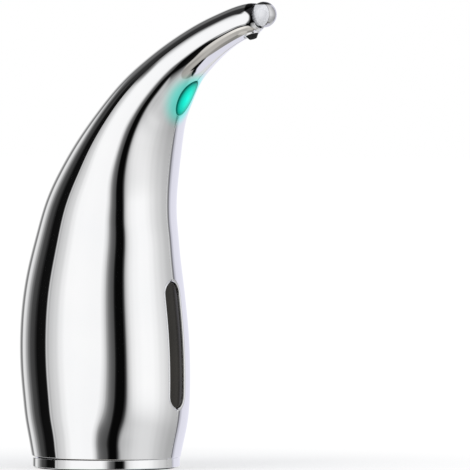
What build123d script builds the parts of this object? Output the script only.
from build123d import *
from math import acos, cos, pi, radians, sin, tan
import os

os.makedirs("parts", exist_ok=True)

# An automatic soap dispenser with a swan-neck body. +Z is up, +X points forward, the way the
# neck reaches, and the origin is the middle of the foot on the counter. Lengths are in mm.

# Whole body: height and reach of the neck's end, and radius of the belly
neck_height = 251.0
neck_reach = 98.5
belly_radius = 47.3
collar_top = 6.0
shell_wall = 1.8
tip_rise = 18.0

# Each row is one section of the body, from the collar to the neck's end: its height as a share of
# the rise above the collar, its reach as a share of the neck's reach, its radius as a share of the
# belly's radius, and its half width as a share of that radius. The neck is wider than it is deep.
body_section_shares = [
    (0.0000, -0.001, 0.875, 1.00),
    (0.0310, 0.000, 0.906, 1.00),
    (0.0812, 0.002, 0.956, 1.00),
    (0.1384, 0.001, 0.985, 1.00),
    (0.2024, -0.006, 1.000, 1.00),
    (0.2686, -0.012, 0.997, 1.00),
    (0.3416, -0.014, 0.970, 1.00),
    (0.4167, -0.006, 0.918, 1.00),
    (0.4857, 0.010, 0.853, 1.00),
    (0.5498, 0.034, 0.787, 1.03),
    (0.6159, 0.080, 0.692, 1.12),
    (0.6780, 0.139, 0.596, 1.26),
    (0.7392, 0.208, 0.500, 1.38),
    (0.7951, 0.285, 0.420, 1.42),
    (0.8445, 0.379, 0.357, 1.42),
    (0.8853, 0.474, 0.300, 1.38),
    (0.9216, 0.587, 0.262, 1.32),
    (0.9506, 0.696, 0.232, 1.26),
    (0.9731, 0.803, 0.208, 1.19),
    (0.9878, 0.894, 0.196, 1.12),
    (0.9943, 0.949, 0.186, 1.09),
    (0.9980, 0.979, 0.169, 1.05),
    (1.0000, 1.000, 0.146, 1.00),
]

# Fits between pieces, and how far a cut runs past what it cuts
fit_gap = 0.12
free_gap = 0.3
running_gap = 0.05
overrun = 2.0

# Foot, base plate and collar
foot_drop = 0.8
foot_thick = 1.8
foot_outer = 38.0
foot_width = 2.6
base_thick = 3.0
collar_radius = 41.0
collar_wall = 2.5
collar_edge = 0.4
tab_width = 5.0
tab_depth = 0.9
tab_gap = 0.3
pad_radius = 3.0

# Screws that hold the body to the base plate
base_screw_circle = 35.4
base_screw_angle = 60.0
base_screw_shank = 1.3
base_screw_head = 2.4
base_screw_head_height = 1.2
base_screw_length = 12.0
base_boss_radius = 3.4
base_boss_height = 12.0
boss_rib = 3.0

# Dowels that line up the two halves of the body
dowel_radius = 1.2
dowel_length = 12.0
dowel_boss_radius = 3.0

# Battery box with four AA cells standing in a square, and its door in the base plate
cell_radius = 7.15
cell_length = 49.2
cell_tip_radius = 2.7
cell_tip_height = 1.2
cell_pitch = 14.8
box_wall = 1.0
box_centre_x = -16.6
box_height = 58.2
door_side = 31.0
door_corner = 4.0
door_thick = 2.0
door_notch = 3.0
seal_thick = 0.8
seal_width = 1.4
spring_radius = 3.0
spring_wire = 0.3
spring_height = 3.0
spring_turns = 2
contact_thick = 0.4

# Soap tank, lid and filling plug
tank_gap = 1.2
tank_wall = 1.6
tank_floor_height = 8.0
tank_top_share = 0.48
tank_rear_x = -28.0
bay_gap = 0.6
lid_thick = 2.0
lid_seal_thick = 1.0
lid_seal_width = 0.8
fill_x = 18.0
fill_bore = 9.0
fill_wall = 2.2
plug_flange = 10.0
plug_thick = 2.0
plug_height = 7.0
plug_grip = 3.0
plug_grip_depth = 1.2
ring_wire = 0.45
ring_height = 3.0

# Level window in the front of the body
window_bottom_share = 0.135
window_top_share = 0.415
window_width = 17.2
window_sink = 1.0
gasket_lap = 2.5
gasket_inset = 2.0
gasket_thick = 0.8

# Gearbox between the chassis plate and its cover
chassis_thick = 2.5
gear_module = 0.4
gear_face = 3.0
gear_step = 1.0
gear_lift = 1.5
pressure_angle = 20.0
backlash = 0.06
tooth_tip_share = 0.95
tooth_root_share = 1.25
pinion_teeth = 18
idler_teeth = 46
rotor_teeth = 48
rotor_x = 16.0
axle_radius = 1.0
shaft_radius = 1.5
bearing_depth = 1.2
cover_thick = 1.8
cover_half_width = 12.5
cover_margin = 12.0
cover_rear_margin = 9.0
cover_corner = 5.0
leg_radius = 2.2
leg_inset = 2.5
small_shank = 0.9
small_head = 1.9
small_head_height = 1.2
small_screw_length = 6.0
shaft_clear = 0.3

# Motor
motor_radius = 8.0
motor_height = 20.0
motor_end_radius = 3.0
motor_end_height = 1.2
motor_edge = 0.8
motor_shaft_depth = 3.0
shaft_tail = 1.0

# Peristaltic pump: three rollers press a soft tube against a round track
tube_outer = 2.0
tube_bore = 1.1
track_radius = 13.4
track_gap = 0.05
pump_radius = 16.0
pump_floor = 1.6
pump_depth = 11.0
pump_cover_thick = 1.6
rotor_disc_radius = 8.0
rotor_disc = 1.2
rotor_gap = 0.6
rotor_hub = 3.0
roller_radius = 2.6
roller_orbit = 6.6
roller_length = 7.0
roller_side_gap = 0.2
roller_pin = 0.8
roller_count = 3
pump_screw_circle = 14.7
pump_screw_length = 10.0
riser_reach = 15.0
riser_bend = 4.5
track_corner_share = 0.995
channel_gap = 0.15
coupler_radius = 2.6
coupler_length = 6.0
coupler_rise = 9.2
barb_height = 7.0
suction_bottom = 20.0
filter_radius = 4.0
filter_length = 9.0

# Circuit board above the pump
post_height = 7.4
post_spread_x = 1.2
post_spread_y = 9.0
post_back_x = 10.5
board_length = 31.0
board_width = 26.0
board_thick = 1.2
board_shift = -5.0
board_corner = 2.0
chip_side = 8.0
chip_height = 1.4
capacitor_radius = 2.6
capacitor_height = 7.0
socket_length = 4.0
socket_width = 6.0
socket_height = 3.6
socket_inset = 1.2

# Cables inside the body
lead_radius = 0.9
thin_lead_radius = 0.7
lead_out = 3.0
bend_share = 0.45

# Sensor lens under the neck and what sits behind it
lens_section = 14.36
lens_half_length = 11.0
lens_half_width = 7.2
lens_proud = 0.4
lens_reach = 5.0
housing_half_length = 9.5
housing_half_width = 5.5
housing_start = 3.4
housing_depth = 5.0
sensor_board_thick = 1.0
diode_radius = 1.5
diode_length = 4.0
diode_spread = 4.6
diode_gap = 0.1
status_side = 2.4
status_height = 1.0

# Button ball on the neck's end
ball_radius = 7.13
lip_to_ball = 2.85
ball_back = 2.0
button_travel = 0.8
stem_radius = 5.6
stem_gap = 0.2
stem_length = 2.6
switch_radius = 3.6
switch_thick = 0.7
switch_gap = 0.15
tip_board_radius = 5.2
tip_board_thick = 0.8

# Nozzle under the neck's end
nozzle_back = 10.5
nozzle_radius = 3.6
nozzle_bore = 1.2
nozzle_start = 5.4
nozzle_end = 10.6
nozzle_edge = 0.5
nozzle_taper_start = 8.2
nozzle_tip_radius = 2.1
ring_wall = 1.0
ring_start = 5.6
ring_end = 8.4
elbow_radius = 3.2
elbow_top = 2.5
elbow_barb_radius = 1.5
elbow_barb_length = 8.0

# Places worked out from the sizes above
tank_top = tank_top_share * neck_height
window_bottom = window_bottom_share * neck_height
window_top = window_top_share * neck_height
riser_x = rotor_x + riser_reach
base_top = foot_drop + base_thick
up = Vector(0, 0, 1)
tip_direction = Vector(cos(radians(tip_rise)), 0, sin(radians(tip_rise)))
tip_down = Vector(sin(radians(tip_rise)), 0, -cos(radians(tip_rise)))
lip_centre = Vector(neck_reach, 0, neck_height)
ball_centre = lip_centre + tip_direction * lip_to_ball
tube_line_radius = track_radius - track_gap - tube_outer
box_top = base_top + box_height
box_half = cell_pitch / 2 + cell_radius + running_gap + box_wall
box_front_x = box_centre_x + box_half
lid_bottom = tank_top
chassis_bottom = lid_bottom + lid_thick
chassis_top = chassis_bottom + chassis_thick
low_gear = chassis_top + gear_lift
high_gear = low_gear + gear_face + gear_step
cover_bottom = high_gear + gear_face + gear_step
cover_top = cover_bottom + cover_thick
pump_floor_top = cover_top + pump_floor
pump_top = pump_floor_top + pump_depth
rotor_low = pump_floor_top + rotor_gap
roller_low = rotor_low + rotor_disc + roller_side_gap
rotor_high = roller_low + roller_length + roller_side_gap
tube_level = roller_low + roller_length / 2
coupler_top = pump_top + coupler_rise
board_bottom = pump_top + pump_cover_thick + post_height
board_top = board_bottom + board_thick
board_x = rotor_x + board_shift
socket_level = board_top + socket_height / 2
pitch_radius_small = gear_module * pinion_teeth / 2
idler_x = rotor_x - gear_module * (pinion_teeth + rotor_teeth) / 2
motor_x = idler_x - gear_module * (pinion_teeth + idler_teeth) / 2
riser_y = tube_line_radius


def section(row):
    """Centre, radius and half width of one row of the body's table."""
    height_share, reach_share, radius_share, width_share = row
    height = collar_top + height_share * (neck_height - collar_top)
    radius = belly_radius * radius_share
    return Vector(neck_reach * reach_share, 0, height), radius, radius * width_share


def body_sections():
    """Centre, direction, radius and half width of every section, square to the centre line."""
    found = [section(row) for row in body_section_shares]
    sections = []
    for number, (centre, radius, half_width) in enumerate(found):
        before = found[max(number - 1, 0)][0]
        after = found[min(number + 1, len(found) - 1)][0]
        direction = (after - before).normalized()
        if number == 0:
            direction = up
        if number == len(found) - 1:
            direction = tip_direction
        sections.append((centre, direction, radius, half_width))
    return sections


sections = body_sections()


def round_body(inset, first, last):
    """The solid inside the body's skin, this far below it, between two sections."""
    with BuildPart() as solid:
        for centre, direction, radius, half_width in sections[first : last + 1]:
            with BuildSketch(Plane(origin=centre, x_dir=(0, 1, 0), z_dir=direction)):
                Ellipse(half_width - inset, radius - inset)
        loft()
    return solid.part


def body_slab(body, low, high):
    """The slice of a body between two heights."""
    with BuildPart() as slab:
        add(body)
        with Locations((0, 0, (low + high) / 2)):
            Box(4 * belly_radius, 4 * belly_radius, high - low, mode=Mode.INTERSECT)
    return slab.part


def round_at(height):
    """Centre and radius of the lower body's round section at a height."""
    for (low, _, low_radius, _), (high, _, high_radius, _) in zip(sections, sections[1:]):
        if low.Z <= height <= high.Z:
            share = (height - low.Z) / (high.Z - low.Z)
            return low.X + share * (high.X - low.X), low_radius + share * (high_radius - low_radius)


def neck_point(number, lift_share, side_share):
    """A point in a section, given as shares of its radius above and beside its centre."""
    centre, direction, radius, _ = sections[number]
    lift = Vector(-direction.Z, 0, direction.X)
    return centre + lift * (lift_share * radius) + Vector(0, side_share * radius, 0)


def skin_under(position):
    """A point of the skin under the neck, between two sections, and the way that the skin faces."""
    number = int(position)
    share = position - number
    centre, direction, radius, _ = sections[number]
    next_centre, next_direction, next_radius, _ = sections[number + 1]
    slope = (next_radius - radius) / (next_centre - centre).length
    middle = centre + (next_centre - centre) * share
    way = (direction + (next_direction - direction) * share).normalized()
    down = Vector(way.Z, 0, -way.X)
    reach = radius + (next_radius - radius) * share
    return middle + down * reach, (down - way * slope).normalized()


def bend_radii(points):
    """Arc radii for a route, as large as the runs beside each corner allow."""
    radii = []
    for before, corner, after in zip(points, points[1:], points[2:]):
        run_in = corner - before
        run_out = after - corner
        turn = radians(run_in.get_angle(run_out))
        radii.append(bend_share * min(run_in.length, run_out.length) / tan(turn / 2))
    return radii


def tube(points, radii, outer, bore, title):
    """A tube along straight runs joined by arcs. It prints how its volume compares."""
    with BuildPart() as hose:
        with BuildLine() as path:
            FilletPolyline(*points, radius=radii)
        with BuildSketch(Plane(origin=path.line @ 0, z_dir=path.line % 0)) as ring:
            Circle(outer)
            if bore > 0:
                Circle(bore, mode=Mode.SUBTRACT)
        sweep(path=path.wires()[0])
    share = hose.part.volume / (ring.sketch.area * path.wires()[0].length)
    print(title, "bend radii", [round(radius, 1) for radius in radii], "volume share", round(share, 4))
    return hose.part


def gear_sketch(teeth, start_angle, plane):
    """A spur gear's outline, with one tooth centred at the start angle."""
    pitch = gear_module * teeth / 2
    base = pitch * cos(radians(pressure_angle))
    half_tooth = pi / (2 * teeth) - backlash / (4 * pitch)
    flank_radii = [
        pitch - tooth_root_share * gear_module,
        base,
        pitch,
        pitch + tooth_tip_share * gear_module,
    ]

    def flank_angle(radius):
        full = radians(pressure_angle)
        slope = acos(min(1, base / radius))
        return half_tooth + (tan(full) - full) - (tan(slope) - slope)

    points = []
    for tooth in range(teeth):
        middle = radians(start_angle) + 2 * pi * tooth / teeth
        rising = [(radius, middle - flank_angle(radius)) for radius in flank_radii]
        falling = [(radius, middle + flank_angle(radius)) for radius in reversed(flank_radii)]
        points += [(radius * cos(angle), radius * sin(angle)) for radius, angle in rising + falling]
    with BuildSketch(plane) as outline:
        with BuildLine():
            Polyline(*points, close=True)
        make_face()
    return outline.sketch


def screw(x, y, under_head, length, shank, head, head_height, head_up):
    """A screw along Z. Its head lies above or below the height given."""
    way = 1 if head_up else -1
    with BuildPart() as fastener:
        with BuildSketch(Plane((x, y, under_head))):
            Circle(head)
        extrude(amount=way * head_height)
        with BuildSketch(Plane((x, y, under_head))):
            Circle(shank)
        extrude(amount=-way * length)
        with BuildSketch(Plane((x, y, under_head + way * head_height))):
            Rectangle(1.2 * head, 0.3 * head)
            Rectangle(0.3 * head, 1.2 * head)
        extrude(amount=-way * head_height / 2, mode=Mode.SUBTRACT)
    return fastener.part


def save(part, name):
    """Label a finished piece and write it under its own name."""
    part.label = name
    export_step(part, f"parts/{name}.step")


# Solids that follow the body's skin: the lower ones stop above the tank and the window
lip_section = len(sections) - 1
belly_top_section = 9
outer_body = round_body(0, 0, lip_section)
inner_body = round_body(shell_wall, 0, lip_section - 1)
boss_limit = round_body(shell_wall / 2, 0, lip_section)
tank_skin = round_body(shell_wall + tank_gap, 0, belly_top_section)
tank_core = round_body(shell_wall + tank_gap + tank_wall, 0, belly_top_section)

# Planes that the neck's pieces are built on
lens_centre, lens_normal = skin_under(lens_section)
lens_along = Vector(-lens_normal.Z, 0, lens_normal.X)
lens_plane = Plane(origin=lens_centre, x_dir=lens_along, z_dir=lens_normal)
tip_plane = Plane(origin=ball_centre, x_dir=(0, 1, 0), z_dir=tip_direction)
nozzle_root = ball_centre - tip_direction * nozzle_back
nozzle_plane = Plane(origin=nozzle_root, x_dir=(0, 1, 0), z_dir=tip_down)
window_middle = (window_bottom + window_top) / 2
window_length = window_top - window_bottom
window_plane = Plane(origin=(0, 0, window_middle), x_dir=(0, 0, 1), z_dir=(1, 0, 0))

# Where the screws from the base plate stand
base_screw_angles = [
    base_screw_angle,
    180 - base_screw_angle,
    180 + base_screw_angle,
    -base_screw_angle,
]
base_screw_places = [
    (base_screw_circle * cos(radians(angle)), base_screw_circle * sin(radians(angle)))
    for angle in base_screw_angles
]
boss_bottom = collar_top + free_gap
boss_top = boss_bottom + base_boss_height

# Dowels: the section that each one lies in, and how far it stands back from the centre line as a
# share of that section's radius
dowel_share_places = [(3, 0.89), (7, 0.895), (11, 0.90), (11, -0.87), (15, 0.62)]
dowel_spots = [neck_point(number, lift, 0) for number, lift in dowel_share_places]

# Both halves of the body with their bosses, before the cuts
with BuildPart() as bosses:
    for number, spot in enumerate(dowel_spots):
        small = number == len(dowel_spots) - 1
        with BuildSketch(Plane(origin=spot, x_dir=(1, 0, 0), z_dir=(0, 1, 0))):
            Circle(2 * dowel_radius if small else dowel_boss_radius)
        extrude(amount=belly_radius, both=True)
    for (x, y), angle in zip(base_screw_places, base_screw_angles):
        with BuildSketch(Plane((x, y, boss_bottom))):
            Circle(base_boss_radius)
        extrude(amount=base_boss_height)
        with BuildSketch(Plane((x, y, boss_bottom))):
            with Locations(Location((0, 0), angle)):
                Rectangle(belly_radius - base_screw_circle, boss_rib, align=(Align.MIN, Align.CENTER))
        extrude(amount=base_boss_height)
    add(boss_limit, mode=Mode.INTERSECT)

with BuildPart() as body:
    add(outer_body)
    add(inner_body, mode=Mode.SUBTRACT)
    add(bosses.part)
    for spot in dowel_spots:
        with BuildSketch(Plane(origin=spot, x_dir=(1, 0, 0), z_dir=(0, 1, 0))):
            Circle(dowel_radius)
        extrude(amount=dowel_length / 2 + running_gap, both=True, mode=Mode.SUBTRACT)
    for x, y in base_screw_places:
        with BuildSketch(Plane((x, y, collar_top))):
            Circle(base_screw_shank + running_gap)
        extrude(amount=base_screw_length + running_gap, mode=Mode.SUBTRACT)
    with BuildSketch(window_plane):
        SlotOverall(window_length, window_width)
    extrude(amount=2 * belly_radius, mode=Mode.SUBTRACT)
    with BuildSketch(lens_plane.offset(-lens_reach)):
        Ellipse(lens_half_length, lens_half_width)
    extrude(amount=2 * lens_reach, mode=Mode.SUBTRACT)
    with BuildSketch(tip_plane.offset(-3 * lip_to_ball)):
        Circle(stem_radius + stem_gap)
    extrude(amount=3 * lip_to_ball, mode=Mode.SUBTRACT)
    with BuildSketch(nozzle_plane.offset(nozzle_start)):
        Circle(nozzle_radius + ring_wall + 2 * running_gap)
    extrude(amount=nozzle_end, mode=Mode.SUBTRACT)

with BuildPart() as shell_left:
    add(body.part)
    split(bisect_by=Plane.XZ, keep=Keep.BOTTOM)

with BuildPart() as shell_right:
    add(body.part)
    split(bisect_by=Plane.XZ, keep=Keep.TOP)

save(shell_left.part, "shell_left")
save(shell_right.part, "shell_right")

# Dowels between the halves
with BuildPart() as shell_dowels:
    for spot in dowel_spots:
        with BuildSketch(Plane(origin=spot, x_dir=(1, 0, 0), z_dir=(0, 1, 0))):
            Circle(dowel_radius)
        extrude(amount=dowel_length / 2, both=True)
save(shell_dowels.part, "shell_dowels")

# Collar under the body, with a small tab in a notch at its front
collar_plane = Plane((0, 0, foot_drop))
collar_inner = collar_radius - collar_wall
with BuildPart() as base_collar:
    with BuildSketch(collar_plane):
        Circle(collar_radius)
        Circle(collar_inner, mode=Mode.SUBTRACT)
    extrude(amount=collar_top - foot_drop)
    outer_edges = base_collar.edges().filter_by(GeomType.CIRCLE).sort_by(SortBy.RADIUS)[-2:]
    chamfer(outer_edges, collar_edge)
    with BuildSketch(Plane((collar_radius, 0, foot_drop))):
        Rectangle(2 * tab_depth, tab_width)
    extrude(amount=collar_top - foot_drop, mode=Mode.SUBTRACT)
save(base_collar.part, "base_collar")

with BuildPart() as collar_tab:
    with BuildSketch(Plane((collar_radius - tab_depth, 0, foot_drop))):
        Rectangle(tab_depth, tab_width - 2 * tab_gap, align=(Align.MIN, Align.CENTER))
    extrude(amount=collar_top - foot_drop)
    chamfer(collar_tab.edges().group_by(Axis.X)[-1], tab_gap)
save(collar_tab.part, "collar_tab")

# Rubber foot, half sunk in a groove of the base plate
with BuildPart() as foot_ring:
    with BuildSketch(Plane.XY):
        Circle(foot_outer)
        Circle(foot_outer - foot_width, mode=Mode.SUBTRACT)
    extrude(amount=foot_thick)
save(foot_ring.part, "foot_ring")

# Base plate with openings for the battery door and the filling plug
door_gap = 2 * fit_gap
with BuildPart() as base_plate:
    with BuildSketch(collar_plane):
        Circle(collar_inner - fit_gap)
    extrude(amount=base_thick)
    for x, y in base_screw_places:
        with BuildSketch(Plane((x, y, base_top))):
            Circle(pad_radius)
        extrude(amount=collar_top + free_gap - base_top)
    with BuildSketch(Plane.XY):
        Circle(foot_outer)
        Circle(foot_outer - foot_width, mode=Mode.SUBTRACT)
    extrude(amount=foot_thick, mode=Mode.SUBTRACT)
    with BuildSketch(Plane.XY):
        with Locations((box_centre_x, 0)):
            RectangleRounded(door_side + 2 * door_gap, door_side + 2 * door_gap, door_corner + door_gap)
        with Locations((fill_x, 0)):
            Circle(plug_flange + door_gap)
    extrude(amount=2 * base_top, mode=Mode.SUBTRACT)
    for x, y in base_screw_places:
        with BuildSketch(Plane((x, y, 0))):
            Circle(base_screw_head + fit_gap)
        extrude(amount=foot_thick + base_screw_head_height, mode=Mode.SUBTRACT)
        with BuildSketch(Plane((x, y, 0))):
            Circle(base_screw_shank + running_gap)
        extrude(amount=2 * collar_top, mode=Mode.SUBTRACT)
save(base_plate.part, "base_plate")

with BuildPart() as base_screws:
    for x, y in base_screw_places:
        add(
            screw(
                x,
                y,
                foot_thick + base_screw_head_height,
                base_screw_length,
                base_screw_shank,
                base_screw_head,
                base_screw_head_height,
                False,
            )
        )
save(base_screws.part, "base_screws")

# Battery box, open below, that stands on the base plate
box_inner = 2 * (box_half - box_wall)
with BuildPart() as battery_box:
    with BuildSketch(Plane((box_centre_x, 0, base_top))):
        RectangleRounded(2 * box_half, 2 * box_half, door_corner)
    extrude(amount=box_height)
    with BuildSketch(Plane((box_centre_x, 0, base_top))):
        RectangleRounded(box_inner, box_inner, door_corner - box_wall)
    extrude(amount=box_height - box_wall, mode=Mode.SUBTRACT)
save(battery_box.part, "battery_box")

# Battery door with a finger notch and a soft seal on top
door_bottom = base_top - seal_thick - door_thick
with BuildPart() as battery_door:
    with BuildSketch(Plane((box_centre_x, 0, door_bottom))):
        RectangleRounded(door_side, door_side, door_corner)
    extrude(amount=door_thick)
    with BuildSketch(Plane((box_centre_x - door_side / 2, 0, door_bottom))):
        SlotOverall(3 * door_notch, door_notch, rotation=90)
    extrude(amount=door_thick / 2, mode=Mode.SUBTRACT)
save(battery_door.part, "battery_door")

with BuildPart() as door_seal:
    with BuildSketch(Plane((box_centre_x, 0, door_bottom + door_thick))):
        RectangleRounded(door_side, door_side, door_corner)
        inner_side = door_side - 2 * seal_width
        RectangleRounded(inner_side, inner_side, door_corner - seal_width, mode=Mode.SUBTRACT)
    extrude(amount=seal_thick)
save(door_seal.part, "door_seal")

# Four cells, two up and two down, between contact plates and springs
cell_places = [
    (box_centre_x + along * cell_pitch / 2, across * cell_pitch / 2, along * across)
    for along in (-1, 1)
    for across in (-1, 1)
]
contact_top = box_top - box_wall
cell_top = contact_top - contact_thick - spring_height
with BuildPart() as batteries:
    for x, y, way in cell_places:
        body_low = cell_top - cell_length + (0 if way > 0 else cell_tip_height)
        with BuildSketch(Plane((x, y, body_low))):
            Circle(cell_radius)
        extrude(amount=cell_length - cell_tip_height)
        tip_low = cell_top - cell_tip_height if way > 0 else cell_top - cell_length
        with BuildSketch(Plane((x, y, tip_low))):
            Circle(cell_tip_radius)
        extrude(amount=cell_tip_height)
save(batteries.part, "batteries")

with BuildPart() as battery_contacts:
    for x, y, way in cell_places:
        with BuildSketch(Plane((x, y, contact_top))):
            RectangleRounded(cell_pitch - 3 * box_wall, cell_pitch - 3 * box_wall, box_wall)
        extrude(amount=-contact_thick)
save(battery_contacts.part, "battery_contacts")

with BuildPart() as battery_springs:
    for x, y, way in cell_places:
        coil_height = spring_height - 2 * spring_wire
        with BuildLine():
            Helix(
                pitch=coil_height / spring_turns,
                height=coil_height,
                radius=spring_radius,
                center=(x, y, cell_top + spring_wire),
            )
        with BuildSketch(
            Plane(origin=(x + spring_radius, y, cell_top + spring_wire), x_dir=(1, 0, 0), z_dir=(0, 1, 0))
        ):
            Circle(spring_wire)
        sweep()
save(battery_springs.part, "battery_springs")
print("least gap between spring turns", round(coil_height / spring_turns - 2 * spring_wire, 2))

# Soap tank: it fills the front of the body and, above the battery box, nearly all of it
bay_front_x = box_front_x + bay_gap
bay_top = box_top + bay_gap


def tank_block(skin, floor, wall):
    """The tank's outer form, or its hollow when it is given the tank's wall."""
    depth = 4 * belly_radius
    clear = tank_gap + wall
    with BuildPart() as block:
        add(body_slab(skin, floor, tank_top))
        with BuildSketch(Plane((bay_front_x + wall, 0, floor))):
            Rectangle(depth, depth, align=(Align.MAX, Align.CENTER))
        extrude(amount=bay_top + wall - floor, mode=Mode.SUBTRACT)
        with BuildSketch(Plane((tank_rear_x + wall, 0, floor))):
            Rectangle(depth, depth, align=(Align.MAX, Align.CENTER))
        extrude(amount=tank_top - floor, mode=Mode.SUBTRACT)
        with BuildSketch(Plane.XY.offset(floor)):
            for (x, y), angle in zip(base_screw_places, base_screw_angles):
                with Locations(Location((x, y), angle)):
                    Circle(base_boss_radius + clear)
                    half_width = base_boss_radius + clear
                    Rectangle(belly_radius, 2 * half_width, align=(Align.MIN, Align.CENTER))
        extrude(amount=boss_top + clear - floor, mode=Mode.SUBTRACT)
    return block.part


with BuildPart() as soap_tank:
    add(tank_block(tank_skin, tank_floor_height, 0))
    add(tank_block(tank_core, tank_floor_height + tank_wall, tank_wall), mode=Mode.SUBTRACT)
    with BuildSketch(Plane((fill_x, 0, base_top))):
        Circle(fill_bore + fill_wall)
    extrude(amount=tank_floor_height - base_top)
    with BuildSketch(Plane((fill_x, 0, base_top))):
        Circle(fill_bore)
    extrude(amount=tank_floor_height + tank_wall - base_top, mode=Mode.SUBTRACT)
save(soap_tank.part, "soap_tank")

# Tank lid with barbs for the suction and pump tubes, on a seal let into its underside
lid_x, lid_round = round_at(tank_top)
lid_radius = lid_round - shell_wall - tank_gap


def lid_sketch(inset):
    """The lid's outline, this far inside its edge."""
    with BuildSketch(Plane((lid_x, 0, lid_bottom))) as outline:
        Circle(lid_radius - inset)
        with Locations((tank_rear_x - lid_x + inset, 0)):
            Rectangle(2 * lid_radius, 2 * lid_radius, align=(Align.MAX, Align.CENTER), mode=Mode.SUBTRACT)
    return outline.sketch


seal_inset = (tank_wall - lid_seal_width) / 2
with BuildPart() as tank_seal:
    add(lid_sketch(seal_inset))
    extrude(amount=lid_seal_thick)
    add(lid_sketch(seal_inset + lid_seal_width))
    extrude(amount=lid_seal_thick, mode=Mode.SUBTRACT)
save(tank_seal.part, "tank_seal")

with BuildPart() as tank_lid:
    add(lid_sketch(0))
    extrude(amount=lid_thick)
    add(tank_seal.part, mode=Mode.SUBTRACT)
    with BuildSketch(Plane((riser_x, riser_y, lid_bottom - barb_height))):
        Circle(tube_outer)
    extrude(amount=lid_thick + 2 * barb_height)
    with BuildSketch(Plane((riser_x, riser_y, lid_bottom - barb_height))):
        Circle(tube_bore)
    extrude(amount=lid_thick + 2 * barb_height, mode=Mode.SUBTRACT)
save(tank_lid.part, "tank_lid")

# Filling plug in the base, with a grip bar and a ring seal
plug_bottom = base_top - plug_thick - seal_thick
plug_radius = fill_bore - free_gap
ring_level = plug_bottom + plug_thick + ring_height
groove_radius = fill_bore - running_gap - 2 * ring_wire
with BuildPart() as fill_plug:
    with BuildSketch(Plane((fill_x, 0, plug_bottom))):
        Circle(plug_flange)
    extrude(amount=plug_thick)
    with BuildSketch(Plane((fill_x, 0, plug_bottom + plug_thick))):
        Circle(plug_radius)
    extrude(amount=plug_height)
    with BuildSketch(Plane((fill_x, 0, plug_bottom))):
        with GridLocations(plug_flange, 0, 2, 1):
            SlotOverall(2 * plug_grip, plug_grip, rotation=90)
    extrude(amount=plug_grip_depth, mode=Mode.SUBTRACT)
    with BuildSketch(Plane((fill_x, 0, ring_level - ring_wire))):
        Circle(plug_radius + overrun)
        Circle(groove_radius, mode=Mode.SUBTRACT)
    extrude(amount=2 * ring_wire, mode=Mode.SUBTRACT)
save(fill_plug.part, "fill_plug")

with BuildPart() as plug_seal:
    with Locations((fill_x, 0, ring_level)):
        Torus(groove_radius + ring_wire, ring_wire)
save(plug_seal.part, "plug_seal")

# Suction tube down to a strainer near the tank's floor
with BuildPart() as suction_tube:
    with BuildSketch(Plane((riser_x, riser_y, suction_bottom))):
        Circle(tube_outer)
        Circle(tube_bore, mode=Mode.SUBTRACT)
    extrude(amount=lid_bottom - barb_height - suction_bottom)
save(suction_tube.part, "suction_tube")

with BuildPart() as suction_filter:
    with BuildSketch(Plane((riser_x, riser_y, suction_bottom - filter_length))):
        Circle(filter_radius)
    extrude(amount=filter_length)
    with BuildSketch(Plane((riser_x, riser_y, suction_bottom - filter_length))):
        Circle(filter_radius - tank_wall)
    extrude(amount=filter_length - tank_wall, mode=Mode.SUBTRACT)
    with BuildSketch(Plane((riser_x, riser_y, suction_bottom))):
        Circle(tube_bore)
    extrude(amount=-filter_length, mode=Mode.SUBTRACT)
save(suction_filter.part, "suction_filter")

# Level window, sunk below the chrome, and the gasket behind it
window_skin = round_body(window_sink, 0, belly_top_section)
with BuildPart() as level_window:
    with BuildSketch(window_plane):
        SlotOverall(window_length - 2 * fit_gap, window_width - 2 * fit_gap)
    extrude(amount=2 * belly_radius)
    add(window_skin, mode=Mode.INTERSECT)
    add(inner_body, mode=Mode.SUBTRACT)
save(level_window.part, "level_window")

gasket_skin = round_body(shell_wall + running_gap, 0, belly_top_section)
gasket_core = round_body(shell_wall + gasket_thick, 0, belly_top_section)
with BuildPart() as window_gasket:
    with BuildSketch(window_plane):
        SlotOverall(window_length + 2 * gasket_lap, window_width + 2 * gasket_lap)
        SlotOverall(window_length - 2 * gasket_inset, window_width - 2 * gasket_inset, mode=Mode.SUBTRACT)
    extrude(amount=2 * belly_radius)
    add(gasket_skin, mode=Mode.INTERSECT)
    add(gasket_core, mode=Mode.SUBTRACT)
save(window_gasket.part, "window_gasket")

# Chassis plate on the tank lid, with bearings for the gears
chassis_x, chassis_round = round_at(chassis_top)
lead_gate = neck_point(8, 0.80, 0.08)
with BuildPart() as chassis:
    with BuildSketch(Plane((chassis_x, 0, chassis_bottom))):
        Circle(chassis_round - shell_wall - tank_gap)
    extrude(amount=chassis_thick)
    for x, radius in ((rotor_x, shaft_radius + running_gap), (idler_x, axle_radius)):
        with BuildSketch(Plane((x, 0, chassis_top))):
            Circle(radius)
        extrude(amount=-bearing_depth, mode=Mode.SUBTRACT)
    with BuildSketch(Plane((riser_x, riser_y, chassis_bottom))):
        Circle(tube_outer + free_gap)
    extrude(amount=chassis_thick, mode=Mode.SUBTRACT)
    with BuildSketch(Plane((lead_gate.X, lead_gate.Y, chassis_bottom))):
        Rectangle(belly_radius, 6 * lead_radius, align=(Align.MAX, Align.CENTER))
        Circle(3 * lead_radius)
    extrude(amount=chassis_thick, mode=Mode.SUBTRACT)
save(chassis.part, "chassis")

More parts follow.
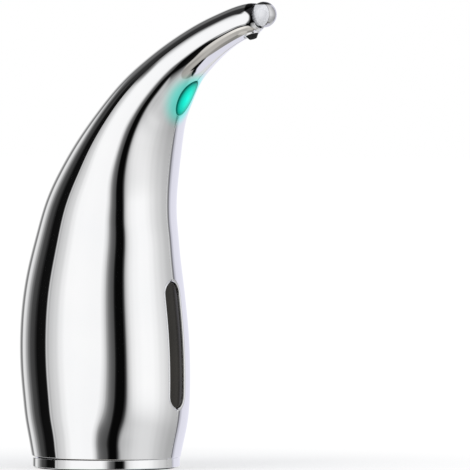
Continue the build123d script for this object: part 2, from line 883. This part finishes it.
# Gearbox cover on four legs, fixed with screws
cover_front_x = rotor_x + cover_margin
cover_rear_x = motor_x - cover_rear_margin
cover_middle_x = (cover_front_x + cover_rear_x) / 2
cover_length = cover_front_x - cover_rear_x
leg_spread_x = cover_length - 2 * leg_inset
leg_spread_y = 2 * (cover_half_width - leg_inset)
leg_places = [
    (cover_middle_x + along * leg_spread_x / 2, across * leg_spread_y / 2)
    for along in (-1, 1)
    for across in (-1, 1)
]
with BuildPart() as gearbox_cover:
    with BuildSketch(Plane((cover_middle_x, 0, cover_bottom))):
        RectangleRounded(cover_length, 2 * cover_half_width, cover_corner)
    extrude(amount=cover_thick)
    for x, y in leg_places:
        with BuildSketch(Plane((x, y, chassis_top))):
            Circle(leg_radius)
        extrude(amount=cover_bottom - chassis_top)
        with BuildSketch(Plane((x, y, cover_top))):
            Circle(small_head + fit_gap)
        extrude(amount=-small_head_height, mode=Mode.SUBTRACT)
        with BuildSketch(Plane((x, y, cover_top))):
            Circle(small_shank + running_gap)
        extrude(amount=-small_head_height - small_screw_length - running_gap, mode=Mode.SUBTRACT)
    with BuildSketch(Plane((rotor_x, 0, cover_top))):
        Circle(shaft_radius + shaft_clear)
    extrude(amount=-cover_thick, mode=Mode.SUBTRACT)
    with BuildSketch(Plane((idler_x, 0, cover_bottom))):
        Circle(axle_radius)
    extrude(amount=bearing_depth, mode=Mode.SUBTRACT)
    with BuildSketch(Plane((motor_x, 0, cover_top))):
        Circle(motor_end_radius + fit_gap)
    extrude(amount=-motor_end_height, mode=Mode.SUBTRACT)
    with BuildSketch(Plane((motor_x, 0, cover_top))):
        Circle(axle_radius + shaft_clear)
    extrude(amount=-cover_thick, mode=Mode.SUBTRACT)
save(gearbox_cover.part, "gearbox_cover")

# Motor can with its end boss in the cover
with BuildPart() as motor:
    with BuildSketch(Plane((motor_x, 0, cover_top))):
        Circle(motor_radius)
    extrude(amount=motor_height)
    rims = motor.edges().filter_by(GeomType.CIRCLE)
    chamfer(rims, motor_edge)
    with BuildSketch(Plane((motor_x, 0, cover_top))):
        Circle(motor_end_radius)
    extrude(amount=-motor_end_height + running_gap)
    with BuildSketch(Plane((motor_x, 0, cover_bottom))):
        Circle(axle_radius + running_gap)
    extrude(amount=cover_thick + motor_shaft_depth + running_gap, mode=Mode.SUBTRACT)
save(motor.part, "motor")

with BuildPart() as motor_shaft:
    with BuildSketch(Plane((motor_x, 0, low_gear - shaft_tail))):
        Circle(axle_radius)
    extrude(amount=cover_top + motor_shaft_depth - low_gear + shaft_tail)
save(motor_shaft.part, "motor_shaft")

# Gears: the motor's pinion turns the idler, and the idler's small gear turns the pump
with BuildPart() as motor_pinion:
    add(gear_sketch(pinion_teeth, 0, Plane((motor_x, 0, low_gear))))
    extrude(amount=gear_face)
    with BuildSketch(Plane((motor_x, 0, low_gear))):
        Circle(axle_radius)
    extrude(amount=gear_face, mode=Mode.SUBTRACT)
save(motor_pinion.part, "motor_pinion")

hub_radius = pitch_radius_small - tooth_root_share * gear_module
with BuildPart() as idler_gear:
    add(gear_sketch(idler_teeth, 180 + 180 / idler_teeth, Plane((idler_x, 0, low_gear))))
    extrude(amount=gear_face)
    with BuildSketch(Plane((idler_x, 0, low_gear + gear_face))):
        Circle(hub_radius)
    extrude(amount=gear_step)
    add(gear_sketch(pinion_teeth, 0, Plane((idler_x, 0, high_gear))))
    extrude(amount=gear_face)
    with BuildSketch(Plane((idler_x, 0, chassis_top + free_gap))):
        Circle(hub_radius)
    extrude(amount=low_gear - chassis_top - free_gap)
    with BuildSketch(Plane((idler_x, 0, chassis_top))):
        Circle(axle_radius + running_gap)
    extrude(amount=cover_bottom - chassis_top, mode=Mode.SUBTRACT)
save(idler_gear.part, "idler_gear")

with BuildPart() as idler_axle:
    with BuildSketch(Plane((idler_x, 0, chassis_top - bearing_depth))):
        Circle(axle_radius)
    extrude(amount=cover_bottom - chassis_top + 2 * bearing_depth)
save(idler_axle.part, "idler_axle")

with BuildPart() as rotor_gear:
    add(gear_sketch(rotor_teeth, 180 + 180 / rotor_teeth, Plane((rotor_x, 0, high_gear))))
    extrude(amount=gear_face)
    with BuildSketch(Plane((rotor_x, 0, high_gear))):
        Circle(shaft_radius)
    extrude(amount=gear_face, mode=Mode.SUBTRACT)
save(rotor_gear.part, "rotor_gear")

shaft_top = pump_top + bearing_depth - running_gap
shaft_bottom = chassis_top - bearing_depth + running_gap
with BuildPart() as rotor_shaft:
    with BuildSketch(Plane((rotor_x, 0, shaft_bottom))):
        Circle(shaft_radius)
    extrude(amount=shaft_top - shaft_bottom)
save(rotor_shaft.part, "rotor_shaft")

# Pump rotor: two discs on a hub, with three pins for the rollers
pump_plane = Plane((rotor_x, 0, rotor_low))
with BuildPart() as pump_rotor:
    for level in (rotor_low, rotor_high):
        with BuildSketch(Plane((rotor_x, 0, level))):
            Circle(rotor_disc_radius)
        extrude(amount=rotor_disc)
    with BuildSketch(pump_plane):
        Circle(rotor_hub)
    extrude(amount=rotor_high - rotor_low)
    with BuildSketch(pump_plane):
        Circle(shaft_radius)
        with PolarLocations(roller_orbit, roller_count, start_angle=90):
            Circle(roller_pin)
    extrude(amount=rotor_high + rotor_disc - rotor_low, mode=Mode.SUBTRACT)
save(pump_rotor.part, "pump_rotor")

with BuildPart() as roller_pins:
    with BuildSketch(pump_plane):
        with PolarLocations(roller_orbit, roller_count, start_angle=90):
            Circle(roller_pin)
    extrude(amount=rotor_high + rotor_disc - rotor_low)
save(roller_pins.part, "roller_pins")

for number in range(roller_count):
    angle = radians(90 + 360 * number / roller_count)
    roller_place = (rotor_x + roller_orbit * cos(angle), roller_orbit * sin(angle), roller_low)
    with BuildPart() as roller:
        with BuildSketch(Plane(roller_place)):
            Circle(roller_radius)
            Circle(roller_pin + running_gap, mode=Mode.SUBTRACT)
        extrude(amount=roller_length)
    save(roller.part, f"pump_roller_{number + 1}")

# Pump housing: a cup whose wall is the track, with channels where the tube leaves
channel_half = tube_outer + channel_gap
with BuildPart() as pump_housing:
    with BuildSketch(Plane((rotor_x, 0, cover_top))):
        Circle(pump_radius)
    extrude(amount=pump_floor + pump_depth)
    with BuildSketch(Plane((rotor_x, 0, pump_floor_top))):
        Circle(track_radius)
    extrude(amount=pump_depth, mode=Mode.SUBTRACT)
    with BuildSketch(Plane((rotor_x, 0, cover_top))):
        Circle(shaft_radius + shaft_clear)
    extrude(amount=pump_floor, mode=Mode.SUBTRACT)
    with BuildSketch(Plane((rotor_x, 0, tube_level - channel_half))):
        with GridLocations(0, 2 * tube_line_radius, 1, 2):
            Rectangle(2 * pump_radius, 2 * channel_half, align=(Align.MIN, Align.CENTER))
    extrude(amount=pump_radius, mode=Mode.SUBTRACT)
    with BuildSketch(Plane((rotor_x, 0, pump_top))):
        with PolarLocations(pump_screw_circle, 4):
            Circle(small_shank + running_gap)
    extrude(amount=-pump_screw_length, mode=Mode.SUBTRACT)
save(pump_housing.part, "pump_housing")

post_places = [
    (rotor_x + post_spread_x, post_spread_y),
    (rotor_x + post_spread_x, -post_spread_y),
    (rotor_x - post_back_x, 0),
]
pump_lid_top = pump_top + pump_cover_thick
with BuildPart() as pump_cover:
    with BuildSketch(Plane((rotor_x, 0, pump_top))):
        Circle(pump_radius)
    extrude(amount=pump_cover_thick)
    for x, y in post_places:
        with BuildSketch(Plane((x, y, pump_lid_top))):
            Circle(leg_radius)
        extrude(amount=post_height)
        with BuildSketch(Plane((x, y, board_bottom))):
            Circle(small_shank + running_gap)
        extrude(amount=-small_screw_length, mode=Mode.SUBTRACT)
    with BuildSketch(Plane((rotor_x, 0, pump_top))):
        Circle(shaft_radius + running_gap)
    extrude(amount=bearing_depth, mode=Mode.SUBTRACT)
    with BuildSketch(Plane((rotor_x, 0, pump_top))):
        with PolarLocations(pump_screw_circle, 4):
            Circle(small_shank + running_gap)
    extrude(amount=pump_cover_thick, mode=Mode.SUBTRACT)
save(pump_cover.part, "pump_cover")

with BuildPart() as pump_screws:
    for quarter in range(4):
        angle = radians(90 * quarter)
        x = rotor_x + pump_screw_circle * cos(angle)
        y = pump_screw_circle * sin(angle)
        length = pump_cover_thick + pump_screw_length - running_gap
        add(screw(x, y, pump_lid_top, length, small_shank, small_head, small_head_height, True))
save(pump_screws.part, "pump_screws")

# Pump tube: up from the tank lid, round the track and up to the coupler
riser_start = lid_bottom + lid_thick + barb_height
coupler_bottom = coupler_top - coupler_length
pump_route = [
    Vector(riser_x, riser_y, riser_start),
    Vector(riser_x, riser_y, tube_level),
    Vector(rotor_x - tube_line_radius, riser_y, tube_level),
    Vector(rotor_x - tube_line_radius, -riser_y, tube_level),
    Vector(riser_x, -riser_y, tube_level),
    Vector(riser_x, -riser_y, coupler_bottom),
]
track_corner = track_corner_share * tube_line_radius
pump_bends = [riser_bend, track_corner, track_corner, riser_bend]
pump_tube = tube(pump_route, pump_bends, tube_outer, tube_bore, "pump tube")
save(pump_tube, "pump_tube")

with BuildPart() as tube_coupler:
    with BuildSketch(Plane((riser_x, -riser_y, coupler_bottom))):
        Circle(coupler_radius)
        Circle(tube_bore, mode=Mode.SUBTRACT)
    extrude(amount=coupler_length)
save(tube_coupler.part, "tube_coupler")

# Delivery tube up the neck to the nozzle's elbow
barb_end = nozzle_root - tip_direction * elbow_barb_length
delivery_route = [
    Vector(riser_x, -riser_y, coupler_top),
    Vector(riser_x, -riser_y, coupler_top + coupler_length),
    neck_point(12, -0.45, -0.36),
    neck_point(13, -0.15, -0.30),
    neck_point(15, 0.15, -0.15),
    neck_point(17, 0.05, 0),
    barb_end - tip_direction * elbow_barb_length,
    barb_end,
]
delivery_tube = tube(delivery_route, bend_radii(delivery_route), tube_outer, tube_bore, "delivery tube")
save(delivery_tube, "delivery_tube")

# Circuit board on the pump cover's posts, with its parts and screws
socket_front_x = board_x + board_length / 2 - socket_inset
socket_rear_x = board_x - board_length / 2 + socket_inset
socket_side_y = board_width / 4
with BuildPart() as main_board:
    with BuildSketch(Plane((board_x, 0, board_bottom))):
        RectangleRounded(board_length, board_width, board_corner)
    extrude(amount=board_thick)
    for x, y in post_places:
        with BuildSketch(Plane((x, y, board_bottom))):
            Circle(small_shank + running_gap)
        extrude(amount=board_thick, mode=Mode.SUBTRACT)
save(main_board.part, "main_board")

with BuildPart() as board_parts:
    with BuildSketch(Plane((board_x, -socket_side_y, board_top))):
        Rectangle(chip_side, chip_side)
    extrude(amount=chip_height)
    with BuildSketch(Plane((board_x, socket_side_y, board_top))):
        Circle(capacitor_radius)
    extrude(amount=capacitor_height)
    for x, side in ((socket_front_x, Align.MAX), (socket_rear_x, Align.MIN)):
        for across in (-1, 1):
            with BuildSketch(Plane((x, across * socket_side_y, board_top))):
                Rectangle(socket_length, socket_width, align=(side, Align.CENTER))
            extrude(amount=socket_height)
save(board_parts.part, "board_parts")

# Equal small screws in the gearbox cover and in the board
with BuildPart() as small_screws:
    heads = [(x, y, cover_top - small_head_height) for x, y in leg_places]
    heads += [(x, y, board_top) for x, y in post_places]
    for x, y, under_head in heads:
        add(screw(x, y, under_head, small_screw_length, small_shank, small_head, small_head_height, True))
save(small_screws.part, "small_screws")

# Leads from the batteries and the motor to the board
battery_route = [
    Vector(tank_rear_x - 3 * lead_radius, socket_side_y / 2, box_top),
    neck_point(6, 0.76, 0.07),
    neck_point(7, 0.78, 0.08),
    lead_gate,
    neck_point(9, 0.68, 0.10),
    neck_point(10, 0.76, 0.14),
    Vector(socket_rear_x - lead_out, socket_side_y, socket_level),
    Vector(socket_rear_x, socket_side_y, socket_level),
]
battery_leads = tube(battery_route, bend_radii(battery_route), lead_radius, 0, "battery leads")
save(battery_leads, "battery_leads")

motor_top = cover_top + motor_height
motor_route = [
    Vector(motor_x, -socket_side_y, motor_top),
    Vector(motor_x, -socket_side_y, socket_level),
    Vector(socket_rear_x, -socket_side_y, socket_level),
]
motor_leads = tube(motor_route, [2 * lead_radius], lead_radius, 0, "motor leads")
save(motor_leads, "motor_leads")

# Sensor lens: an oval window in the neck's underside, with diodes behind it
lens_first_section = 9
lens_last_section = 18
proud_body = round_body(-lens_proud, lens_first_section, lens_last_section)
with BuildPart() as sensor_lens:
    with BuildSketch(lens_plane.offset(-lens_reach)):
        Ellipse(lens_half_length - fit_gap, lens_half_width - fit_gap)
    extrude(amount=2 * lens_reach)
    add(proud_body, mode=Mode.INTERSECT)
    add(inner_body, mode=Mode.SUBTRACT)
save(sensor_lens.part, "sensor_lens")

diode_places = [(-diode_spread, 0), (diode_spread, 0)]
housing_plane = lens_plane.offset(-housing_start)
housing_back = lens_plane.offset(-housing_start - housing_depth)
with BuildPart() as sensor_housing:
    with BuildSketch(housing_plane):
        Ellipse(housing_half_length, housing_half_width)
    extrude(amount=-housing_depth)
    with BuildSketch(housing_plane):
        with Locations(*diode_places):
            Circle(diode_radius + diode_gap)
        Rectangle(status_side + 2 * diode_gap, status_side + 2 * diode_gap)
    extrude(amount=-housing_depth, mode=Mode.SUBTRACT)
save(sensor_housing.part, "sensor_housing")

with BuildPart() as sensor_board:
    with BuildSketch(housing_back):
        Rectangle(2 * housing_half_length, 2 * housing_half_width)
    extrude(amount=-sensor_board_thick)
save(sensor_board.part, "sensor_board")

with BuildPart() as infrared_diodes:
    with BuildSketch(housing_back):
        with Locations(*diode_places):
            Circle(diode_radius)
    extrude(amount=diode_length)
    domes = infrared_diodes.faces().sort_by(Axis(lens_centre, lens_normal))[-2:]
    fillet(domes.edges(), diode_radius / 2)
save(infrared_diodes.part, "infrared_diodes")

with BuildPart() as status_led:
    with BuildSketch(housing_back):
        Rectangle(status_side, status_side)
    extrude(amount=status_height)
save(status_led.part, "status_led")

# Cables up the neck: one to the sensor board and one to the button's board
tip_board_back = stem_length + ball_back + button_travel + switch_gap + switch_thick + tip_board_thick
sensor_end = (
    lens_centre
    - lens_normal * (housing_start + housing_depth + sensor_board_thick / 2)
    - lens_along * housing_half_length
    + Vector(0, housing_half_width / 2, 0)
)
sensor_route = [
    Vector(socket_front_x, socket_side_y - lead_radius, socket_level),
    Vector(socket_front_x + lead_out, socket_side_y - lead_radius, socket_level),
    neck_point(12, -0.42, 0.18),
    sensor_end,
]
button_end = ball_centre - tip_direction * tip_board_back + Vector(0, tip_board_radius - lead_radius, 0)
button_route = [
    Vector(socket_front_x, socket_side_y + lead_radius, socket_level),
    Vector(socket_front_x + lead_out, socket_side_y + lead_radius, socket_level),
    neck_point(12, -0.30, 0.36),
    neck_point(13, 0.05, 0.34),
    neck_point(15, 0.10, 0.36),
    neck_point(17, 0, 0.43),
    neck_point(19, 0, 0.46),
    button_end,
]
with BuildPart() as neck_harness:
    add(tube(sensor_route, bend_radii(sensor_route), thin_lead_radius, 0, "sensor cable"))
    add(tube(button_route, bend_radii(button_route), thin_lead_radius, 0, "button cable"))
save(neck_harness.part, "neck_harness")

# Button: a ball on a short stem that slides in the neck's end
stem_end = ball_back + stem_length
with BuildPart() as tip_button:
    with Locations(Location(ball_centre)):
        Sphere(ball_radius)
    with BuildSketch(tip_plane.offset(-ball_back)):
        Circle(2 * ball_radius)
    extrude(amount=-2 * ball_radius, mode=Mode.SUBTRACT)
    with BuildSketch(tip_plane.offset(-ball_back)):
        Circle(stem_radius)
    extrude(amount=-stem_length)
save(tip_button.part, "tip_button")

switch_front = stem_end + button_travel + switch_gap
with BuildPart() as dome_switch:
    with BuildSketch(tip_plane.offset(-switch_front)):
        Circle(switch_radius)
    extrude(amount=-switch_thick)
    chamfer(dome_switch.edges().filter_by(GeomType.CIRCLE), switch_thick / 3)
save(dome_switch.part, "dome_switch")

with BuildPart() as tip_board:
    with BuildSketch(tip_plane.offset(-switch_front - switch_thick)):
        Circle(tip_board_radius)
    extrude(amount=-tip_board_thick)
save(tip_board.part, "tip_board")

# Nozzle, the bright ring round it and the elbow that feeds it
with BuildPart() as nozzle:
    with BuildSketch(nozzle_plane.offset(nozzle_start)):
        Circle(nozzle_radius)
    extrude(amount=nozzle_taper_start - nozzle_start)
    with BuildSketch(nozzle_plane.offset(nozzle_taper_start)):
        Circle(nozzle_radius)
    with BuildSketch(nozzle_plane.offset(nozzle_end)):
        Circle(nozzle_tip_radius)
    loft()
    fillet(nozzle.edges().filter_by(GeomType.CIRCLE).sort_by(Axis.Z)[0], nozzle_edge)
    with BuildSketch(nozzle_plane.offset(nozzle_start)):
        Circle(nozzle_bore)
    extrude(amount=nozzle_end - nozzle_start, mode=Mode.SUBTRACT)
save(nozzle.part, "nozzle")

with BuildPart() as nozzle_ring:
    with BuildSketch(nozzle_plane.offset(ring_start)):
        Circle(nozzle_radius + ring_wall)
        Circle(nozzle_radius + running_gap, mode=Mode.SUBTRACT)
    extrude(amount=ring_end - ring_start)
save(nozzle_ring.part, "nozzle_ring")

with BuildPart() as nozzle_elbow:
    with BuildSketch(nozzle_plane.offset(-elbow_top)):
        Circle(elbow_radius)
    extrude(amount=elbow_top + nozzle_start)
    with BuildSketch(Plane(origin=nozzle_root, x_dir=(0, 1, 0), z_dir=-tip_direction)):
        Circle(elbow_barb_radius)
    extrude(amount=elbow_barb_length)
    with BuildSketch(Plane(origin=nozzle_root, x_dir=(0, 1, 0), z_dir=-tip_direction)):
        Circle(tube_bore)
    extrude(amount=elbow_barb_length, mode=Mode.SUBTRACT)
    with BuildSketch(nozzle_plane):
        Circle(nozzle_bore)
    extrude(amount=nozzle_start, mode=Mode.SUBTRACT)
save(nozzle_elbow.part, "nozzle_elbow")
